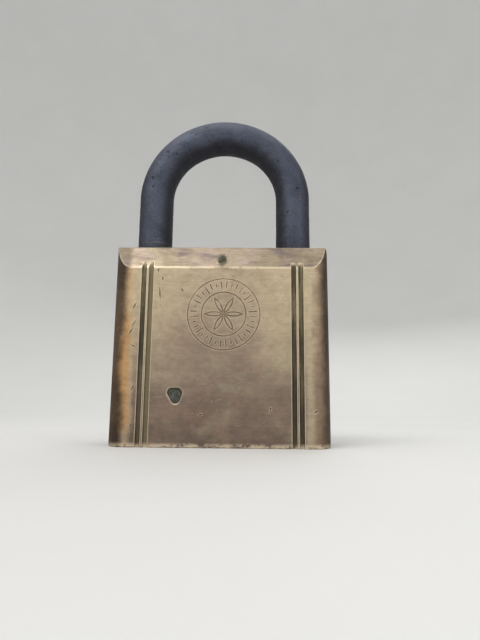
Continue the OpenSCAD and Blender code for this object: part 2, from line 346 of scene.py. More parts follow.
# %% [markdown]
# ## Pin hole
# The cross pin that holds the lock cylinder shows on the front as a dark end in a hole. The
# brass was peened over it, so the mouth of the hole is no longer round: it has drawn in to a
# rounded triangle that points down. Below the mouth the hole is a plain drilled one.

# %% Mouth of the pin hole
pin_middle = Vector(((pin_low.x + pin_high.x) / 2, -half_t, (pin_low.z + pin_high.z) / 2))
pin_r = (pin_high.x - pin_low.x) / 2
pin_sunk = half_t + pin_low.y
MOUTH_CORNERS = (
    # x and z from the pin's middle and radius in mm, and the angle at which the arc starts
    (-0.60, 0.60, 1.20, 210), (0.66, 0.60, 1.20, 90), (0.20, -0.92, 1.10, -30),
)
MOUTH_LEVELS = (
    # how much wider than the mouth, and how deep under the front, in mm
    (0.45, -0.3), (0.28, -0.02), (0.04, 0.14), (0.0, 0.64),
)


def mouth_outline(wider):
    """Rounded triangle, point down, as three arcs round the corners' centres."""
    outline = []
    for x, z, radius, start in MOUTH_CORNERS:
        reach = radius + wider
        for step in range(9):
            a = math.radians(start - 15 * step)
            outline.append(Vector((x + reach * math.cos(a), 0, z + reach * math.sin(a))) * MM)
    return outline


def pin_mouth(bm):
    rings = []
    for wider, deep in MOUTH_LEVELS:
        place = pin_middle + Vector((0, deep * MM, 0))
        rings.append([bm.verts.new(p + place) for p in mouth_outline(wider)])
    for ring in rings:
        for pair in zip(ring, ring[1:] + ring[:1]):
            bm.edges.new(pair)
    for one, two in zip(rings, rings[1:]):
        loops = [e for ring in (one, two) for e in edges_at(ring) if all(v in ring for v in e.verts)]
        bmesh.ops.bridge_loops(bm, edges=loops)
    bm.faces.new(rings[0])
    bm.faces.new(rings[-1])
    bmesh.ops.recalc_face_normals(bm, faces=bm.faces)


def on_pin_axis(y):
    return Vector((pin_middle.x, y, pin_middle.z))


def pin_hole(bm):
    start = on_pin_axis(-half_t + pin_sunk - 0.02 * MM)
    add_drill(bm, pin_r + 0.02 * MM, start, on_pin_axis(pin_high.y + 0.3 * MM))


carve(case, pin_mouth, pin_hole)

# %% [markdown]
# ## Stamped roundel
# A lock of this kind often has a stamp in the middle of its front. This one gets a plain
# ornament with no letters: two rings, ticks between them, and a six-petal rosette made of
# compass arcs. Each line is cut by a square bar set on edge, which leaves a V groove.

# %% Line cutters
line_r = 0.30 * MM
line_rise = 0.09 * MM
stamp_face = emblem - Vector((0, line_rise, 0))
RIM_RADII = (9.0, 5.55)
TICKS = ((6.2, 8.3), (7.0, 7.8), (6.7, 8.3))
TICK_COUNT = 36
PETALS = 6
petal_r = 4.9 * MM
petal_sink = 0.006 * MM


def add_arc(bm, centre, radius, start=0.0, sweep=math.tau, steps=96):
    """A square bar bent round centre in the plane of the front face."""
    turned = Matrix.Translation(centre) @ Matrix.Rotation(start, 4, "Y")
    place = turned @ Matrix.Translation((radius, 0, 0))
    ring = bmesh.ops.create_circle(bm, cap_ends=False, segments=4, radius=line_r, matrix=place)["verts"]
    bmesh.ops.spin(bm, geom=ring + edges_at(ring), cent=centre, axis=(0, 1, 0), angle=sweep, steps=steps,
                   use_merge=sweep >= math.tau, use_duplicate=False)
    bmesh.ops.holes_fill(bm, edges=bm.edges, sides=4)
    bmesh.ops.recalc_face_normals(bm, faces=bm.faces)


def rim_rings(bm):
    for radius in RIM_RADII:
        add_arc(bm, stamp_face, radius * MM)


def rim_ticks(bm):
    for i in range(TICK_COUNT):
        a = math.tau * (i + 0.5) / TICK_COUNT
        out = Vector((math.cos(a), 0, math.sin(a)))
        inner, outer = TICKS[i % len(TICKS)]
        add_drill(bm, line_r, stamp_face + out * inner * MM, stamp_face + out * outer * MM, 4)


def petal_arc(i):
    """One of the arcs past the middle. Each has its own depth, so no two floors meet level."""
    turn = math.tau * i / PETALS

    def rosette_arc(bm):
        out = Vector((math.cos(turn), 0, -math.sin(turn)))
        centre = stamp_face + out * petal_r + Vector((0, petal_sink * i, 0))
        add_arc(bm, centre, petal_r - 0.14 * MM, turn + math.radians(121), math.radians(118), 28)
    return rosette_arc


carve(case, rim_rings, rim_ticks, *(petal_arc(i) for i in range(PETALS)))

# %% [markdown]
# ## Damage
# Years on a keyring or a gate leave dents, nicks and gouges. The large ones are cut into the
# mesh, because they break the silhouette and catch light at the edges. The marks that stand
# out are listed one by one. The rest are strewn along the edges with a seeded random generator.

# %% Marks on the front
def add_lump(bm, middle, size, turn=0.0, rough=0.15, seed=0.0):
    """An uneven ellipsoid: an icosphere with its points pushed in and out by noise."""
    lump = bmesh.ops.create_icosphere(bm, subdivisions=3, radius=1)["verts"]
    for v in lump:
        v.co *= 1 + rough * noise.noise(v.co * 1.7 + Vector((seed, seed, seed)))
    place = Matrix.Translation(middle) @ Matrix.Rotation(turn, 4, "Y") @ Matrix.Diagonal((*size, 1))
    bmesh.ops.transform(bm, matrix=place, verts=lump)


def on_slope(x, z):
    """The point of the front's sloping band at a given x and height."""
    return Vector((x * MM, -half_t + slope_in * (z * MM - slope_foot) / slope_h, z * MM))


def green_pit(bm):
    add_lump(bm, on_slope(0.2, 46.2), Vector((1.25, 0.32, 0.80)) * MM, math.radians(-35), 0.4, 3.0)


def green_pit_tail(bm):
    add_lump(bm, on_slope(0.8, 47.1), Vector((0.75, 0.28, 0.85)) * MM, 0.3, 0.4, 9.0)
    add_lump(bm, on_slope(0.9, 48.5), Vector((0.28, 0.2, 0.34)) * MM, 0, 0.4, 5.0)


GOUGES = (
    # x, z, length, tilt in degrees from upright
    (-21.3, 34.5, 1.5, 25), (-21.3, 30.0, 1.7, 32), (-22.0, 28.0, 1.9, 28), (-21.3, 24.4, 1.2, 115),
    (-20.9, 14.2, 1.6, 28), (-21.0, 5.2, 1.0, 25), (-15.7, 43.7, 0.9, 4), (-14.5, 41.5, 0.9, -8),
    (-15.1, 37.6, 2.6, -6), (-9.5, 38.5, 0.9, -28), (23.4, 8.8, 1.3, 40), (23.9, 8.9, 1.1, 40),
    (-4.3, 7.8, 0.8, 80), (12.6, 9.4, 0.7, 15),
)


def corner_depth(x):
    """How far the front has curved back at a given distance from the middle."""
    beyond = max(0.0, x - corner_x)
    return corner_r - math.sqrt(corner_r ** 2 - min(beyond, corner_r) ** 2)


def add_spindle(bm, start, end, thick, thin):
    """A six-sided bar, thick in the middle and thin at both ends."""
    before = set(bm.edges)
    add_drill(bm, thin, start, end, 6)
    long = [e for e in bm.edges if e not in before and e.calc_length() > 3 * thin]
    new = bmesh.ops.subdivide_edges(bm, edges=long, cuts=1)["geom_inner"]
    grow = thick / thin
    bmesh.ops.scale(bm, verts=verts_of(new), vec=(grow, grow, grow),
                    space=Matrix.Translation(-(start + end) / 2))


def gouges(marks):
    def gouge_set(bm):
        for x, z, length, tilt in marks:
            a = math.radians(tilt)
            along = Vector((math.sin(a), 0, math.cos(a))) * length * 0.7 * MM
            middle = Vector((x * MM, -half_t + corner_depth(abs(x) * MM), z * MM))
            add_spindle(bm, middle - along, middle + along, 0.26 * MM, 0.04 * MM)
    return gouge_set


# Neighbours in the list may cross, so they are cut in two turns.
carve(case, green_pit, green_pit_tail, gouges(GOUGES[::2]), gouges(GOUGES[1::2]))


# %% Nicks along the edges
def edge_nicks(start, end, out, count, seed, deepest):
    """Scallops a straight edge with lumps that reach in from outside."""
    def nicks(bm):
        chance = random.Random(seed)
        for i in range(count):
            point = start.lerp(end, (i + chance.uniform(0.1, 0.9)) / count)
            radius = chance.uniform(0.5, 1.4) * MM
            deep = chance.uniform(0.16, deepest) * MM
            size = Vector((radius * chance.uniform(0.7, 1.8), radius, radius))
            add_lump(bm, point + out.normalized() * (radius - deep), size, 0, 0.25, seed + i)
    return nicks


near_x = 21 * MM
top_y = half_t - slope_in
LONG_EDGES = (
    # y, z, the way out, number of nicks, seed, and the deepest
    (-half_t, 0, (0, -1, -1), 26, 11, 0.4), (half_t, 0, (0, 1, -1), 14, 23, 0.36),
    (-top_y, case_h, (0, -1, 2), 9, 5, 0.2), (top_y, case_h, (0, 1, 2), 9, 31, 0.24),
)
for y, z, out, count, seed, deepest in LONG_EDGES:
    ends = Vector((-near_x, y, z)), Vector((near_x, y, z))
    carve(case, edge_nicks(*ends, Vector(out), count, seed, deepest), self_cross=True)


# %% Shading of a carved piece
def shade_carved(obj, flats, sharp_angle=35):
    """Curved faces shade smooth, led by the largest ones. Faces along a flat direction stay flat."""
    bm = bmesh.new()
    bm.from_mesh(obj.data)
    sliver = 0.001 * MM
    bmesh.ops.remove_doubles(bm, verts=bm.verts, dist=sliver)
    bmesh.ops.dissolve_degenerate(bm, edges=bm.edges, dist=sliver)
    for face in bm.faces:
        face.smooth = not any(abs(face.normal.dot(n)) > 0.9999 for n in flats)
    sharp = math.radians(sharp_angle)
    for edge in bm.edges:
        edge.smooth = len(edge.link_faces) == 2 and edge.calc_face_angle(0) < sharp
    open_edges = sum(len(edge.link_faces) != 2 for edge in bm.edges)
    print(f"  {obj.name}: {open_edges} edges without exactly two faces")
    bm.to_mesh(obj.data)
    bm.free()
    even = obj.modifiers.new("even", "WEIGHTED_NORMAL")
    even.keep_sharp = True
    apply_modifiers(obj)


slope_normal = Vector((0, slope_h, slope_in)).normalized()
FLATS = [Vector((0, 1, 0)), Vector((0, 0, 1)), slope_normal, Vector((0, -slope_normal.y, slope_normal.z))]
shade_carved(case, FLATS)
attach(case, "case")
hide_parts("case")
print("case body:", len(case.data.polygons), "faces")

# %% [markdown]
# ## Shackle
# The real bar is bent cold, then its heel gets a turned neck and its toe a milled notch. Here
# a circle is spun half a turn for the crown, and its two open ends are drawn down into the
# legs ring by ring. There are enough rings for rust pits to be real dents in the surface.

# %% Bar
ring_sides = 96
crown_steps = 150
ring_gap = 0.4 * MM
neck_r = bar_r - 1.6 * MM
neck_top = stud_z + stud_r + 0.3 * MM
neck_bottom = stud_z - stud_r - lift - 0.2 * MM
heel_end = shackle_low.z
end_chamfer = MM


def draw_down(bm, ring, x, stops):
    """Extrudes an open ring of edges down past each (height, radius) stop, and caps it."""
    here_z, here_r = crown_z, bar_r
    for stop_z, stop_r in stops:
        steps = max(1, round((here_z - stop_z) / ring_gap)) if stop_r == here_r else 1
        for i in range(steps):
            down = (stop_z - here_z) / steps
            grow = (stop_r / here_r) if i == 0 else 1.0
            new = bmesh.ops.extrude_edge_only(bm, edges=ring)["geom"]
            ring, verts = edges_of(new), verts_of(new)
            bmesh.ops.translate(bm, verts=verts, vec=(0, 0, down))
            bmesh.ops.scale(bm, verts=verts, vec=(grow, grow, 1), space=Matrix.Translation((-x, 0, 0)))
        here_z, here_r = stop_z, stop_r
    bmesh.ops.edgenet_fill(bm, edges=ring)


def make_bar():
    bm = bmesh.new()
    place = Matrix.Translation((leg_x, 0, crown_z))
    ring = bmesh.ops.create_circle(
        bm, cap_ends=False, segments=ring_sides, radius=bar_r, matrix=place)["verts"]
    first = edges_at(ring)
    spun = bmesh.ops.spin(
        bm, geom=ring + first, cent=(0, 0, crown_z), axis=(0, -1, 0), angle=math.pi,
        steps=crown_steps, use_merge=False, use_duplicate=False)["geom_last"]
    last = edges_of(spun)
    draw_down(bm, first, leg_x, [(toe_end + end_chamfer, bar_r), (toe_end, bar_r - end_chamfer)])
    draw_down(bm, last, -leg_x, [
        (neck_top, bar_r), (neck_top - 0.05 * MM, neck_r), (neck_bottom, neck_r),
        (neck_bottom - 0.05 * MM, bar_r), (heel_end + end_chamfer, bar_r), (heel_end, bar_r - end_chamfer)])
    bmesh.ops.recalc_face_normals(bm, faces=bm.faces)
    return bm


WORST_RUST = Vector((-13.5, 0, 80))


def pit_depth(point):
    """Depth of rust at a point: shallow waves, pits, and a bitten patch left of the crown."""
    p = point / MM
    waves = 0.03 * noise.noise(p * 0.35) + 0.015 * noise.noise(p * 0.9)
    rough = noise.noise(p * 0.12 + Vector((4, 0, 1)))
    pits = max(0.0, noise.noise(p * 1.6) - 0.28 + 0.25 * rough)
    near = max(0.0, 1 - (p - WORST_RUST).length / 7)
    bite = near * (0.35 + 0.65 * max(0.0, noise.noise(p * 0.9 + Vector((0, 7, 0)))))
    return (0.03 + waves + 0.35 * pits + 0.35 * bite * bite) * MM


def weather(bm):
    """Sinks each point of the outside along its normal. The part inside the case stays true."""
    bm.normal_update()
    for v in bm.verts:
        above = v.co.z - (case_h + 0.5 * MM)
        if above > 0:
            v.co -= v.normal * max(0.0, pit_depth(v.co)) * min(1.0, above / (2 * MM))


bar = make_bar()
weather(bar)
shackle = finish_mesh(bar, "shackle_bar")
print("shackle:", len(shackle.data.polygons), "faces")

# %% Notch for the bolt
nose_slope = 1.6
nose_len = 1.9 * MM
notch_top = bolt_high.z + 0.4 * MM
notch_floor = bolt_high.x + 0.3 * MM
notch_mouth = leg_x - bar_r - MM
flank_drop = (lift / draw - nose_slope) * (nose_len - 0.2 * MM) + 0.35 * MM


def toe_notch(bm):
    def flank(x):
        return bolt_low.z - flank_drop + nose_slope * (x - bolt_high.x + nose_len)
    corners = ((notch_mouth, flank(notch_mouth)), (notch_floor, flank(notch_floor)),
               (notch_floor, notch_top), (notch_mouth, notch_top))
    wide = bar_r + MM
    side = bm.faces.new([bm.verts.new((x, -wide, z)) for x, z in corners])
    new = bmesh.ops.extrude_face_region(bm, geom=[side])["geom"]
    bmesh.ops.translate(bm, verts=verts_of(new), vec=(0, 2 * wide, 0))
    bmesh.ops.recalc_face_normals(bm, faces=bm.faces)


carve(shackle, toe_notch)
shade_carved(shackle, [Vector((0, 0, 1))], 40)
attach(shackle, "shackle")
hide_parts("shackle")

# %% [markdown]
# ## Cross pin
# Only the front end of the cross pin shows, and it is eaten away: lumpy, low at the rim and
# a little proud in the middle. A cylinder has one flat face there, so the end is inset in
# rings, and its points are moved.

# %% Worn pin
def make_pin():
    bm = bmesh.new()
    add_drill(bm, pin_r, on_pin_axis(pin_low.y), on_pin_axis(pin_high.y))
    end = min(bm.faces, key=lambda f: f.calc_center_median().y)
    for _ in range(9):
        bmesh.ops.inset_region(bm, faces=[end], thickness=0.18 * MM, use_even_offset=True)
    for v in bm.verts:
        away = Vector((v.co.x - pin_middle.x, 0, v.co.z - pin_middle.z)).length
        if v.co.y < pin_low.y + MM and away < pin_r - 0.05 * MM:
            lumps = noise.noise(v.co / MM * 1.5) * 0.16 + noise.noise(v.co / MM * 4) * 0.05
            v.co.y -= (0.16 * (1 - (away / pin_r) ** 2) + lumps) * MM
    return finish_mesh(bm, "retaining_pin_worn")


pin = make_pin()
for face in pin.data.polygons:
    face.use_smooth = abs(face.normal.y) < 0.99
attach(pin, "case")
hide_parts("retaining_pin")
print("cross pin:", len(pin.data.polygons), "faces")

# %% [markdown]
# ## Node helpers
# A finish is arithmetic on patterns: one noise times another, or a mask taken from a third. So
# a value that changes over the surface is held in a small class, and +, -, *, / and abs() on it
# add the Math nodes. The other helpers add the kinds of node that come up most. They all add to
# the tree on the bench, which is the group or material that was started last.

# %% Fields
bench = SimpleNamespace(tree=None)


class Field:
    """A value that changes over the surface. Arithmetic on it adds Math nodes."""

    def __init__(self, socket):
        self.socket = socket

    def __add__(self, other):
        return calc("ADD", self, other)

    def __radd__(self, other):
        return calc("ADD", other, self)

    def __sub__(self, other):
        return calc("SUBTRACT", self, other)

    def __rsub__(self, other):
        return calc("SUBTRACT", other, self)

    def __mul__(self, other):
        return calc("MULTIPLY", self, other)

    def __rtruediv__(self, other):
        return calc("DIVIDE", other, self)

    def __abs__(self):
        return calc("ABSOLUTE", self)


# %% Nodes
def feed(value, node, name):
    bench.tree.links.new(value.socket, node.inputs[name])


def put(kind, inputs=None, **settings):
    """Adds a node. An input that is a Field is linked, and anything else is its value."""
    node = bench.tree.nodes.new(kind)
    for name, value in settings.items():
        setattr(node, name, value)
    for name, value in (inputs or {}).items():
        if isinstance(value, Field):
            feed(value, node, name)
        else:
            node.inputs[name].default_value = value
    return node


def add(kind, inputs=None, output=0, **settings):
    """Adds a node and returns one of its outputs."""
    return Field(put(kind, inputs, **settings).outputs[output])


def calc(operation, a, b=0.0, clamp=False):
    return add("ShaderNodeMath", {0: a, 1: b}, operation=operation, use_clamp=clamp)


def larger(a, b):
    return calc("MAXIMUM", a, b)


def vector(operation, a, b=(0, 0, 0), output=0):
    return add("ShaderNodeVectorMath", {0: a, 1: b}, output, operation=operation)


# %% Masks, colours and patterns
def ramp(value, start, end):
    """Rises smoothly from 0 at start to 1 at end. It falls where start is the larger."""
    flip = start > end
    return add("ShaderNodeMapRange", {
        "Value": value, "From Min": min(start, end), "From Max": max(start, end),
        "To Min": float(flip), "To Max": float(not flip)}, interpolation_type="SMOOTHSTEP")


def blend(factor, a, b, mode="MIX"):
    """Mixes two colours, each a Field or three numbers."""
    a, b = (c if isinstance(c, Field) else (*c, 1) for c in (a, b))
    return add("ShaderNodeMix", {0: factor, 6: a, 7: b}, 2, data_type="RGBA", blend_type=mode)


def shaded(colour, tone):
    """A colour made darker or lighter by a grey."""
    grey = add("ShaderNodeCombineColor", {0: tone, 1: tone, 2: tone})
    return blend(1.0, colour, grey, "MULTIPLY")


def stretch(place, scale=(1, 1, 1), turn=(0, 0, 0), shift=(0, 0, 0)):
    return add("ShaderNodeMapping", {
        "Vector": place, "Location": shift, "Rotation": turn, "Scale": scale})


def grain(place, scale, detail=3.0, roughness=0.55, distortion=0.0):
    return add("ShaderNodeTexNoise", {
        "Vector": place, "Scale": scale, "Detail": detail, "Roughness": roughness,
        "Distortion": distortion}, "Fac")


def spots(place, spacing, share):
    return use(PITS, Place=place, Spacing=spacing, Share=share)["Mask"]


def jittered(place, scale, detail):
    """The same place moved about by noise, so that round shapes come out uneven."""
    by = add("ShaderNodeTexNoise", {"Vector": place, "Scale": scale, "Detail": detail}, "Color")
    return vector("ADD", place, by)


# %% Groups and materials
def start_group(name, inputs, outputs):
    """A new group. An input's default is its value, or None for a place. An output has its kind."""
    tree = bpy.data.node_groups.new(name, "ShaderNodeTree")
    bench.tree = tree
    for label, default in inputs.items():
        kind = "NodeSocketVector" if default is None else "NodeSocketFloat"
        socket = tree.interface.new_socket(label, in_out="INPUT", socket_type=kind)
        if default is not None:
            socket.default_value = default
    for label, kind in outputs.items():
        tree.interface.new_socket(label, in_out="OUTPUT", socket_type=f"NodeSocket{kind}")
    given = put("NodeGroupInput").outputs
    return {label: Field(given[label]) for label in inputs}


def finish_group(**results):
    end = put("NodeGroupOutput")
    for label, value in results.items():
        feed(value, end, label)
    return bench.tree


def use(group, **inputs):
    """Places a group and returns its outputs by name."""
    node = put("ShaderNodeGroup", inputs, node_tree=group)
    return {socket.name: Field(socket) for socket in node.outputs}


def start_material(name, metallic, roughness, viewport):
    mat = bpy.data.materials.new(name)
    mat.use_nodes = True
    mat.diffuse_color = (*viewport, 1)
    bench.tree = mat.node_tree
    shader = bench.tree.nodes["Principled BSDF"]
    shader.inputs["Metallic"].default_value = metallic
    shader.inputs["Roughness"].default_value = roughness
    return mat, shader


def add_bump(shader, height, depth, normal=None):
    """Feeds a height from 0 to 1 to the shader, as a relief of the given depth in metres."""
    bump = put("ShaderNodeBump", {"Height": height, "Distance": depth, "Strength": 1.0})
    if normal is not None:
        feed(normal, bump, "Normal")
    feed(Field(bump.outputs[0]), shader, "Normal")


print("node helpers ready")

# %% [markdown]
# ## Shared effects
# Several finishes need the same things: a place measured in millimetres, worn edges, corners darkened
# with dirt and painted shade, fine scratches, and pits. Each is a node group that is built once. The worn
# edge comes from comparing the true normal with one that is averaged over a small radius, and the
# corner darkening from how much of the sky above a point the piece itself hides.

# %% Group: place in millimetres
def millimetre_group():
    start_group("millimetres", {}, {"Place": "Vector", "X": "Float", "Y": "Float", "Z": "Float"})
    coords = add("ShaderNodeTexCoord", output="Object")
    place = add("ShaderNodeVectorMath", {0: coords, "Scale": 1 / MM}, operation="SCALE")
    split = put("ShaderNodeSeparateXYZ", {0: place}).outputs
    return finish_group(Place=place, **{axis: Field(split[axis]) for axis in "XYZ"})


# %% Group: worn edges, and dirt and painted shade in corners
def wear_group():
    given = start_group("edge_wear", {"Radius": 0.3 * MM, "Reach": MM},
                        {"Edge": "Float", "Corner": "Float", "Normal": "Vector"})
    soft = add("ShaderNodeBevel", {"Radius": given["Radius"]}, samples=6)
    true = add("ShaderNodeNewGeometry", output="Normal")
    same = vector("DOT_PRODUCT", soft, true, "Value")
    open_sky = add("ShaderNodeAmbientOcclusion", {"Distance": given["Reach"]}, "AO",
                   samples=8, only_local=True)
    edge = ramp(same, 0.998, 0.93) * ramp(open_sky, 0.75, 0.95)
    # Corner darkening where the piece hides the sky: dirt and painted shade.
    return finish_group(Edge=edge, Corner=ramp(open_sky, 0.97, 0.45), Normal=soft)


# %% Group: fine scratches
def scratch_group():
    """Hairlines in three directions: thin level lines of a noise that is drawn out long."""
    given = start_group("scratches", {"Place": None, "Length": 9.0, "Amount": 0.5}, {"Mask": "Float"})
    total = None
    for turn, shift in ((0.35, 0.0), (-0.9, 31.0), (1.75, 77.0)):
        turned = stretch(given["Place"], turn=(0.2, turn, 0.1), shift=(shift, shift, shift))
        squeeze = add("ShaderNodeCombineXYZ", {0: 1.1, 1: 1.1, 2: 1.0 / given["Length"]})
        field = grain(vector("MULTIPLY", turned, squeeze), 1.0, 1.0)
        line = ramp(abs(field - 0.5), 0.006, 0.0)
        broken = ramp(grain(stretch(turned, (0.35, 0.35, 0.12)), 1.0, 1.0), 0.52, 0.66)
        one = line * broken
        total = one if total is None else larger(total, one)
    return finish_group(Mask=calc("MULTIPLY", total, given["Amount"], clamp=True))


# %% Group: pits
def pit_group():
    """Round pits of uneven size, one in some of the cells of a cell pattern."""
    given = start_group("pits", {"Place": None, "Spacing": 1.0, "Share": 0.4}, {"Mask": "Float"})
    cells = put("ShaderNodeTexVoronoi", {"Vector": given["Place"], "Scale": 1.0 / given["Spacing"]}).outputs
    chance = put("ShaderNodeSeparateColor", {0: Field(cells["Color"])}).outputs
    size = Field(chance[1]) * 0.34 + 0.08
    shape = ramp(size - Field(cells["Distance"]), 0.0, 0.10)
    return finish_group(Mask=shape * calc("LESS_THAN", Field(chance[0]), given["Share"]))


MILLIMETRES = millimetre_group()
WEAR = wear_group()
SCRATCHES = scratch_group()
PITS = pit_group()
print("node groups:", len(bpy.data.node_groups))

# %% [markdown]
# ## Aged brass
# Handled brass goes brown where nothing rubs it and stays pale where hands and pockets do.
# The colour is laid on in the order in which the years did it, with painted light and shade among
# the layers. First come the places and noises that all the layers share. Everything is measured in
# millimetres, and z is the height.

# %% Places and patterns
brass, shader = start_material("aged_brass", 0.9, 0.42, (0.55, 0.45, 0.32))
mm = use(MILLIMETRES)
place, x, y, z = mm["Place"], mm["X"], mm["Y"], mm["Z"]
wear = use(WEAR, Radius=0.35 * MM, Reach=1.1 * MM)
across = abs(x)
back = half_t / MM - abs(y)
left = ramp(x, 10.0, -10.0)

cloud = grain(stretch(place, (0.06, 0.06, 0.11)), 1.0, 4.0, 0.6)
blotch = grain(stretch(place, (0.16, 0.16, 0.16), shift=(40, 3, 9)), 1.0, 5.0, 0.62, 0.6)
olive = grain(stretch(place, (0.11, 0.11, 0.13), shift=(7, 50, 20)), 1.0, 4.0, 0.55, 0.4)
streak = grain(stretch(place, (0.10, 0.10, 2.2)), 1.0, 4.0, 0.7)
brushed = grain(stretch(place, (0.25, 0.25, 6.0)), 1.0, 3.0, 0.65)
speckle = grain(stretch(place, (0.55, 0.55, 0.8)), 1.0, 4.0, 0.65, 0.3)
fine = grain(place, 5.0, 3.0, 0.7)
height = z + (cloud - 0.5) * 30.0


def count_nodes(step):
    print(f"{step}: {len(bench.tree.nodes)} nodes so far")


count_nodes("places and patterns")

# %% [markdown]
# ### Tarnish and painted light on the front
# Low down the brass is mauve-brown, and towards the top it is the colour of straw: partly tarnish,
# partly painted light that makes the top lighter. Pink and olive patches drift over it, and the outer
# parts of the front carry a painted sheen, most at the top and on the right.

# %% Front
MAUVE_BROWN, BROWN, STRAW = (0.185, 0.135, 0.110), (0.335, 0.262, 0.195), (0.55, 0.445, 0.315)
PINK, OLIVE, SHEEN_BRASS = (0.33, 0.215, 0.165), (0.44, 0.40, 0.26), (0.68, 0.565, 0.375)

# Darker low down and lighter towards the top: tarnish, with painted light and shade in it.
face = blend(ramp(height, -2.0, 24.0), MAUVE_BROWN, BROWN)
face = blend(ramp(height, 18.0, 46.0), face, STRAW)
face = blend(ramp(blotch, 0.50, 0.66) * 0.40, face, PINK)
face = blend(ramp(olive, 0.54, 0.72) * 0.30, face, OLIVE)
# Painted sheen on the outer parts of the front, more at the top and on the right.
painted_sheen = ramp(across, 5.0, 16.0) * ramp(height, 8.0, 30.0)
share = 0.44 + ramp(height, 26.0, 40.0) * 0.16 - left * 0.22
face = blend(painted_sheen * share, face, SHEEN_BRASS)
count_nodes("tarnish")

# %% [markdown]
# ### Corners and sides
# Outside the grooves a pale strip of painted highlight is followed by a painted orange highlight on the
# left and a tan of painted shade on the right. On the sides themselves the brass is almost black: brown
# tarnish and painted shade. The borders wander, and little of this reaches the underside.

# %% Corners and sides: painted highlights, painted shade and tarnish
turn_x = round(corner_x / MM, 1)
PALE_HIGHLIGHT, ORANGE_HIGHLIGHT, TAN_SHADE = (0.66, 0.545, 0.37), (0.56, 0.318, 0.132), (0.245, 0.170, 0.115)
SIDE_DARK, SIDE_BROWN = (0.034, 0.020, 0.012), (0.074, 0.045, 0.026)

edge_x = across + (blotch - 0.5) * 2.4
upright = ramp(z, 0.02, 0.25)
# Pale strip outside the grooves: a painted highlight.
pale_highlight = ramp(edge_x, turn_x - 1.7, turn_x - 0.3) * ramp(edge_x, turn_x + 2.1, turn_x + 0.3)
face = blend(pale_highlight * upright * 0.5, face, PALE_HIGHLIGHT)
# Orange on the left flank: a painted highlight.
orange_highlight = ramp(edge_x, turn_x - 1.4, turn_x + 0.9) * (left * upright)
orange_highlight = orange_highlight * (0.25 + ramp(height, 48.0, 30.0) * 0.6) * ramp(height, -6.0, 6.0)
face = blend(orange_highlight, face, ORANGE_HIGHLIGHT)
# Tan on the right flank: painted shade.
tan_shade = ramp(edge_x, turn_x, turn_x + 2.3) * (1.0 - left) * upright
face = blend(tan_shade * 0.85, face, TAN_SHADE)
upper = ramp(height, 26.0, 34.0) * 0.9
lower = ramp(height, 22.0, 4.0) * 1.1
closer = left * (1.2 + (upper + lower))
# Almost black sides: brown tarnish and painted shade, reaching further in on the left.
side_tarnish_and_shade = ramp(edge_x + closer, turn_x + 2.0, turn_x + 4.5) * (0.25 + upright * 0.75)
side_tarnish_and_shade_tone = blend(ramp(cloud, 0.40, 0.60), SIDE_DARK, SIDE_BROWN)
face = blend(side_tarnish_and_shade * 0.95, face, side_tarnish_and_shade_tone)
count_nodes("corners and sides")

# %% [markdown]
# ### Sloping band
# The band has its own look: greyer, streaked along its length, stained, and darker below the legs with a
# painted shadow of the shackle. A point belongs to it when it lies close to the slope's plane, so the
# distance under that plane is worked out from the slope's height and depth.

# %% Sloping band
foot_z = slope_foot / MM
top_z = case_h / MM
leg_shadow_x = 16.5
slope_len = math.hypot(slope_h, slope_in)
BAND_TAN, BAND_MAUVE = (0.378, 0.303, 0.240), (0.196, 0.153, 0.140)
BAND_STREAK, BAND_OLIVE = (0.52, 0.435, 0.355), (0.36, 0.305, 0.185)

up = (z - foot_z) * (slope_in / slope_len)
under = back * (slope_h / slope_len) - up
band = ramp(under, 0.30, 0.12) * ramp(z, foot_z - 0.1, foot_z + 0.3)
top = ramp(z, top_z - 0.12, top_z - 0.04)
stains_and_leg_shadow = grain(stretch(place, (0.12, 0.3, 0.26), shift=(3, 0, 60)), 1.0, 4.0, 0.55, 0.3)
from_leg_shadow = abs(across - leg_shadow_x)
# Painted shadow of the shackle's legs on the band, added to the stains.
stains_and_leg_shadow = stains_and_leg_shadow + ramp(from_leg_shadow, 5.5, 1.0) * 0.07
slope = blend(ramp(stains_and_leg_shadow, 0.46, 0.66), BAND_TAN, BAND_MAUVE)
slope = blend(ramp(streak, 0.45, 0.72) * 0.40, slope, BAND_STREAK)
slope = blend(ramp(olive, 0.46, 0.62) * 0.50, slope, BAND_OLIVE)
face = blend(larger(band, top * 0.8), face, slope)
count_nodes("sloping band")

# %% [markdown]
# ### Marks in the colour
# A fine tone breaks up the flat areas. Specks are places where the tarnish has flaked, and
# hairlines are fresh scratches. The crater cut into the band is filled with green salts.

# %% Tone, specks, hairlines and the green pit
SPECK, HAIRLINE, GREEN_SALT = (0.13, 0.095, 0.065), (0.66, 0.56, 0.40), (0.060, 0.072, 0.050)
# The noise that moves places about is 0.5 on average, so the pit's middle moves as much.
green_middle = on_slope(0.4, 46.7) / MM + Vector((0.5, 0.5, 0.5))

tone = streak * 0.30 + fine * 0.16 + ramp(speckle, 0.36, 0.64) * 0.16 + 0.70
face = shaded(face, tone)
bent = jittered(place, 1.6, 2.0)
pits = spots(bent, 2.3, 0.14)
specks = spots(bent, 0.8, 0.06)
face = blend(specks * 0.40, face, SPECK)
lines = use(SCRATCHES, Place=place, Length=8.0, Amount=1.0)["Mask"]
face = blend(lines * 0.35, face, HAIRLINE)

to_pit = vector("SUBTRACT", bent, tuple(green_middle))
to_pit = stretch(to_pit, (1.15, 0.5, 0.72), (0, math.radians(-25), 0))
from_pit = vector("LENGTH", to_pit, output="Value")
green = ramp(from_pit, 1.9, 0.8)
face = blend(green * 0.85, face, GREEN_SALT)
count_nodes("marks")

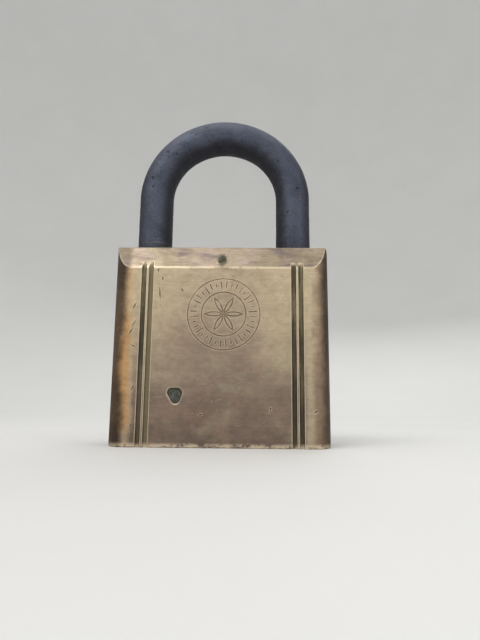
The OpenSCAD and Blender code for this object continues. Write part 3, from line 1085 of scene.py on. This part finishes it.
# %% [markdown]
# ### Dirt and painted shade
# Every inner corner, the stamp and the grooves are darkened where a cloth can't reach and shade falls:
# dirt and painted shade, and in the grooves packed dirt as well. The stamp gets less of it than the
# rest. The inner groove on the left is paler, with a pale olive painted reflection along it.

# %% Dirt and painted shade
SOIL_AND_SHADE, DRY_SOIL_AND_SHADE, PALE_REFLECTION = (0.050, 0.041, 0.026), (0.115, 0.098, 0.058), (0.30, 0.255, 0.150)
PACKED, DRY_PACKED, PACKED_REFLECTION = (0.080, 0.066, 0.042), (0.165, 0.145, 0.082), (0.32, 0.275, 0.165)
pair_half = groove_pitch / 2 + groove_r
groove_near = round((groove_x - groove_shift - pair_half) / MM, 1)
groove_far = round((groove_x + groove_shift + pair_half) / MM, 1)
left_middle = (groove_shift - groove_x) / MM

# Pale olive painted reflection along the inner groove on the left.
groove_reflection = ramp(x, left_middle - 0.3, left_middle + 0.2) * ramp(x, left_middle + 2.4, left_middle + 1.8)
corner_dirt_and_shade = blend(ramp(fine, 0.35, 0.65), SOIL_AND_SHADE, DRY_SOIL_AND_SHADE)
corner_dirt_and_shade = blend(groove_reflection * 0.8, corner_dirt_and_shade, PALE_REFLECTION)
from_stamp = vector("DISTANCE", place, tuple(emblem / MM), "Value")
in_stamp = ramp(from_stamp, 10.5, 9.6)
# Less of the corner darkening in the stamp and in patches.
kept = 0.95 - in_stamp * 0.22 - in_stamp * ramp(blotch, 0.38, 0.56) * 0.40
kept = kept - ramp(speckle, 0.52, 0.66) * 0.35
# Dirt and painted shade in every inner corner.
face = blend(wear["Corner"] * kept, face, corner_dirt_and_shade)

along = grain(stretch(place, (0.45, 0.45, 0.07)), 1.0, 3.0, 0.6)
groove = ramp(back, 0.12, 0.45) * ramp(back, 1.1, 0.9)
groove = groove * ramp(across, groove_near - 0.5, groove_near)
groove = groove * ramp(across, groove_far + 0.2, groove_far - 0.2)
groove = groove * ramp(z, foot_z + 1.2, foot_z + 0.2)
packed = blend(ramp(along, 0.4, 0.6), PACKED, DRY_PACKED)
packed = blend(groove_reflection * 0.8, packed, PACKED_REFLECTION)
face = blend(groove * (0.85 - ramp(along, 0.46, 0.60) * 0.45), face, packed)
count_nodes("corner_dirt_and_shade")

# %% [markdown]
# ### Bright metal
# The last layer is bare brass, on every edge that gets knocked: the worn edges that the group
# finds, the foot that stands on things, and the line where the front meets the band, widened by a
# painted highlight below the band's foot.

# %% Worn metal
BARE_BRASS = (0.86, 0.73, 0.54)

foot = ramp(z, 1.4, 0.3) * ramp(speckle, 0.36, 0.52) * ramp(z, 0.01, 0.08)
bright = larger(wear["Edge"] * ramp(fine, 0.12, 0.45), foot * 0.85)
# Worn line below the band's foot, widened by a painted highlight.
band_foot_wear_and_highlight = ramp(abs(under - 0.15), 0.14, 0.04) * ramp(z, foot_z - 1.0, foot_z - 0.4)
band_foot_wear_and_highlight = band_foot_wear_and_highlight * ramp(speckle, 0.30, 0.50) * ramp(from_pit, 2.4, 3.0)
bright = larger(bright, band_foot_wear_and_highlight * 0.8)
bright = bright * (1.0 - side_tarnish_and_shade * 0.4) * (1.0 - green)
face = blend(bright * 0.85, face, BARE_BRASS)
feed(face, shader, "Base Color")
count_nodes("worn metal")

# %% [markdown]
# ### Gloss and relief
# Tarnish and dirt are duller than metal, and don't conduct, so they lower Metallic as well.
# Brush lines, pits and hairlines are under a tenth of a millimetre deep, which bump can carry.

# %% Gloss and relief of the case
rough = 0.38 + blotch * 0.20 + wear["Corner"] * 0.35
rough = calc("ADD", rough, side_tarnish_and_shade * 0.38, clamp=True)
feed(rough - bright * 0.10, shader, "Roughness")
bare = 0.90 - wear["Corner"] * 0.65
feed(calc("SUBTRACT", bare, side_tarnish_and_shade * 0.60, clamp=True), shader, "Metallic")
relief = brushed * 0.18 - pits * 0.45 - lines * 0.25 + fine * 0.14 + streak * 0.25
add_bump(shader, relief + blotch * 0.8, 0.06 * MM)


def finish_piece(obj, mat):
    """Puts one material on every slot of a piece."""
    obj.data.materials.clear()
    obj.data.materials.append(mat)


finish_piece(case, brass)
count_nodes("case finish")

# %% [markdown]
# ## Blackened steel
# The shackle is dark blue-grey with a mauve cast, matt where it has pitted and where painted shade lies,
# and smoother elsewhere. A faint ring on the heel leg shows how far it used to sink into the case.

# %% Steel: colour and pits
BLUE_BLACK, BLUE_GREY, MAUVE_GREY = (0.044, 0.053, 0.080), (0.070, 0.083, 0.122), (0.078, 0.069, 0.084)
PALE_GRAIN, PIT_BLACK, RUST = (0.140, 0.156, 0.196), (0.022, 0.021, 0.025), (0.115, 0.068, 0.045)

steel, shader = start_material("blackened_steel", 0.55, 0.5, (0.09, 0.1, 0.13))
shader.inputs["Specular IOR Level"].default_value = 0.35
mm = use(MILLIMETRES)
place, x, z = mm["Place"], mm["X"], mm["Z"]
wear = use(WEAR, Radius=0.3 * MM, Reach=1.2 * MM)
cloud = grain(place, 0.16, 4.0, 0.6, 0.5)
mottle = grain(stretch(place, shift=(20, 5, 3)), 0.55, 5.0, 0.65, 0.4)
fine = grain(place, 3.0, 4.0, 0.7)
grit = grain(place, 1.5, 3.0, 0.8)
colour = blend(ramp(cloud, 0.35, 0.65), BLUE_BLACK, BLUE_GREY)
colour = blend(ramp(mottle, 0.50, 0.68) * 0.55, colour, MAUVE_GREY)
colour = blend(ramp(fine, 0.45, 0.70) * 0.50, colour, PALE_GRAIN)

bent = jittered(place, 2.2, 3.0)
small = spots(bent, 0.7, 0.40)
large = spots(bent, 1.3, 0.22)
patchy = ramp(grain(place, 0.22, 2.0), 0.42, 0.62)
pitted = larger(small * 0.7, large) * patchy
colour = blend(pitted * 0.6, colour, PIT_BLACK)
rust = ramp(mottle, 0.60, 0.72) * ramp(fine, 0.42, 0.60)
colour = blend(rust * 0.4, colour, RUST)
count_nodes("steel colour")

# %% [markdown]
# ### Painted shade and highlight on the bar
# The top of the crown gets a painted highlight. The inner side of the bar, the inside of the bend and
# the outer sides of the legs get painted shade. How far a point lies from the bar's middle line tells
# which side it is on: above the legs that is measured from the middle of the bend.

# %% Steel: painted shade and highlight, ring and scratches
ring_z = case_h / MM + 3.4
bend_z = crown_z / MM
RING_GREY, SHEEN_STEEL, BAR_SHADE = (0.17, 0.165, 0.175), (0.150, 0.168, 0.215), (0.010, 0.010, 0.014)
SUNK_STEEL, STEEL_HAIRLINE, STEEL_EDGE = (0.042, 0.039, 0.044), (0.20, 0.21, 0.23), (0.22, 0.22, 0.23)

from_ring = abs(z - ring_z + (mottle - 0.5) * 0.5)
ring = ramp(from_ring, 0.30, 0.08) * ramp(x, 1.0, -1.0)
colour = blend(ring * 0.40, colour, RING_GREY)

inside = vector("DISTANCE", place, (0, 0, bend_z), "Value")
# Painted shade inside the bend, under the crown.
crown_shade = ramp(inside, 18.0, 14.8) * ramp(z, 72.0, 80.0)
out_from_bend = add("ShaderNodeCombineXYZ", {0: x, 1: larger(z - bend_z, 0.0)})
aside = vector("LENGTH", out_from_bend, output="Value") + (cloud - 0.5) * 1.6 - leg_x / MM
# Painted shade on the inner side of the bar and the outer sides of the legs.
inner = ramp(aside, -1.2, -4.0) * 0.95
outer = ramp(aside, 1.6, 4.2) * ramp(z, 84.0, 70.0)
bar_shade = larger(crown_shade, larger(inner, outer * 0.85))
# Painted highlight along the top of the crown.
painted_sheen = ramp(aside, 0.2, 2.6) * ramp(z, 80.0, 87.0)
colour = blend(painted_sheen * 0.55, colour, SHEEN_STEEL)
colour = blend(bar_shade * 0.92, colour, BAR_SHADE)

colour = blend(ramp(z, ring_z, ring_z - 0.5) * 0.35, colour, SUNK_STEEL)
lines = use(SCRATCHES, Place=place, Length=6.0, Amount=1.0)["Mask"]
colour = blend(lines * 0.30, colour, STEEL_HAIRLINE)
colour = blend(wear["Edge"] * 0.4, colour, STEEL_EDGE)
feed(colour, shader, "Base Color")
count_nodes("steel grime")

# %% Steel: gloss and relief
feed(0.40 + mottle * 0.22 + pitted * 0.25 + bar_shade * 0.25, shader, "Roughness")
feed(0.50 - larger(rust, bar_shade) * 0.45, shader, "Metallic")
relief = mottle * 0.8 - pitted * 0.7 + grit * (0.5 + patchy)
add_bump(shader, relief + fine * 0.45, 0.13 * MM)
finish_piece(shackle, steel)
count_nodes("shackle finish")

# %% [markdown]
# ## Corroded pin end
# The end of the cross pin is grey-green: steel that has rusted dark, under a patchy crust of
# brass salts.

# %% Pin finish
corroded, shader = start_material("corroded_pin", 0.25, 0.75, (0.1, 0.11, 0.1))
place = use(MILLIMETRES)["Place"]
crust = grain(place, 1.3, 4.0, 0.65, 0.5)
fine = grain(place, 7.0, 3.0, 0.7)
colour = blend(ramp(crust, 0.38, 0.60), (0.045, 0.050, 0.036), (0.125, 0.130, 0.112))
colour = blend(ramp(fine, 0.52, 0.70) * 0.4, colour, (0.085, 0.115, 0.070))
feed(colour, shader, "Base Color")
add_bump(shader, crust + fine * 0.5, 0.1 * MM)
finish_piece(pin, corroded)
count_nodes("pin finish")

# %% [markdown]
# ## Machined parts
# Everything inside came off a lathe or a mill. One function makes all these finishes: rings
# round the part's own axis for what was turned, straight lines for what was milled, a little
# tarnish, dirt and painted shade in the inner corners, and softened edges from the wear group. It is
# called with each metal's own colours.

# %% Machined finish
def tool_marks(place, axis):
    """Rings round the lathe's axis, or straight lines where axis is None."""
    if axis is None:
        return grain(stretch(place, (0.4, 7.0, 7.0)), 1.0, 2.0, 0.6)
    flat = tuple(0.0 if a == axis else 1.0 for a in "XYZ")
    away = vector("LENGTH", stretch(place, flat), output="Value")
    along = add("ShaderNodeSeparateXYZ", {0: place}, axis)
    return grain(add("ShaderNodeCombineXYZ", {0: away * 5.0, 1: along * 5.0}), 1.0, 2.0, 0.6)


def make_machined(name, metal, axis=None, middle=(0, 0, 0), patina=0.5):
    """metal is three colours: clean, tarnished, and dark for dirt and painted shade. axis is the lathe's,
    X, Y or Z.
    """
    clean, tarnished, dirt_and_shade_colour = metal
    mat, shader = start_material(name, 0.95, 0.35, clean)
    place = use(MILLIMETRES)["Place"]
    wear = use(WEAR, Radius=0.2 * MM, Reach=0.9 * MM)
    marks = tool_marks(stretch(place, shift=tuple(-c for c in middle)), axis)
    cloud = grain(place, 0.35, 4.0, 0.6, 0.4)
    fine = grain(place, 4.0, 3.0, 0.65)
    specks = spots(place, 0.9, 0.25)
    colour = blend(ramp(cloud, 0.30, 0.72) * patina, clean, tarnished)
    colour = shaded(colour, 0.80 + marks * 0.40)
    # Inner corners darkened: dirt and painted shade.
    colour = blend(wear["Corner"] * 0.75, colour, dirt_and_shade_colour)
    colour = blend(specks * 0.45, colour, dirt_and_shade_colour)
    brighter = tuple(min(1.0, 1.25 * c + 0.04) for c in clean)
    feed(blend(wear["Edge"] * 0.7, colour, brighter), shader, "Base Color")
    feed(0.26 + fine * 0.22 + wear["Corner"] * 0.3, shader, "Roughness")
    relief = marks * 0.7 + fine * 0.3 - specks * 0.5
    add_bump(shader, relief, 0.04 * MM, wear["Normal"])
    return mat


# %% Finishes of the inner works
BRASS = ((0.62, 0.47, 0.25), (0.30, 0.20, 0.11), (0.07, 0.055, 0.03))
WORN_BRASS = ((0.46, 0.365, 0.215), (0.27, 0.195, 0.125), (0.07, 0.055, 0.03))
STEEL = ((0.46, 0.46, 0.47), (0.24, 0.22, 0.21), (0.05, 0.045, 0.04))
WIRE = ((0.42, 0.42, 0.44), (0.20, 0.19, 0.19), (0.05, 0.04, 0.035))


def middle_of(name):
    low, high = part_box(name)
    return tuple((low + high) / 2 / MM)


plug_axis = middle_of("cylinder_plug")
spring_wire = make_machined("spring_wire", WIRE, patina=0.4)
works = {
    "cylinder_shell": make_machined("shell_brass", WORN_BRASS, "Z", patina=0.9),
    "cylinder_plug": make_machined("plug_brass", WORN_BRASS, "Z", plug_axis, 0.7),
    "bolt": make_machined("bolt_steel", STEEL, patina=0.6),
    "tailpiece": make_machined("crank_steel", STEEL, "Z", plug_axis, 0.6),
    "plug_pin": make_machined("plug_pin_steel", STEEL, "Y", middle_of("plug_pin")),
    "heel_stud": make_machined("stud_steel", STEEL, "X", middle_of("heel_stud")),
    "shackle_spring": spring_wire,
}
for i in range(1, 6):
    middle = middle_of(f"key_pin_{i}")
    works[f"key_pin_{i}"] = make_machined(f"key_pin_brass_{i}", BRASS, "Y", middle, 0.3)
    works[f"driver_pin_{i}"] = make_machined(f"driver_steel_{i}", STEEL, "Y", middle, 0.3)
    works[f"chamber_cap_{i}"] = make_machined(f"cap_brass_{i}", BRASS, "Y", middle)
    works[f"pin_spring_{i}"] = spring_wire
for name, mat in works.items():
    finish_piece(nodes[name], mat)
print("inner pieces with a finish:", len(works), "- materials:", len(bpy.data.materials))

# %% [markdown]
# ## Light
# Soft light from a pale room suits metal: it needs something to reflect more than it needs
# power. A large lamp high on the left gives the front its slow change from light to dark. A
# weaker one on the right keeps the other side open, one behind lights the back, and the world
# fills the rest.

# %% Floor finish
floor_paint, shader = start_material("studio_floor", 0.0, 0.7, (0.8, 0.8, 0.79))
cloud = grain(use(MILLIMETRES)["Place"], 0.01, 3.0)
feed(blend(cloud, (0.76, 0.76, 0.75), (0.82, 0.82, 0.81)), shader, "Base Color")
finish_piece(stage, floor_paint)
print("floor finish ready")

# %% Lamps and world
lamp_target = Vector((0, 0, 0.04))


def add_lamp(name, place, size, power, colour=(1, 1, 1)):
    data = bpy.data.lights.new(name, "AREA")
    data.shape = "RECTANGLE"
    data.size, data.size_y = size
    data.energy = power
    data.color = colour
    lamp = add_object(name, data)
    lamp.location = place
    lamp.rotation_mode = "QUATERNION"
    lamp.rotation_quaternion = (lamp_target - Vector(place)).to_track_quat("-Z", "Y")


def make_world():
    world = bpy.data.worlds.new("studio")
    bpy.context.scene.world = world
    world.use_nodes = True
    sky = world.node_tree.nodes["Background"]
    sky.inputs["Color"].default_value = (1, 1, 1, 1)
    sky.inputs["Strength"].default_value = 0.75


add_lamp("key", (-0.20, -0.32, 0.50), (0.35, 0.30), 1.6, (1, 0.98, 0.95))
add_lamp("fill", (0.50, -0.30, 0.26), (0.36, 0.24), 0.6)
add_lamp("rear", (0.15, 0.50, 0.45), (0.40, 0.30), 0.8)
make_world()
bpy.context.scene.view_settings.view_transform = "Standard"
print("lamps:", len(bpy.data.lights))
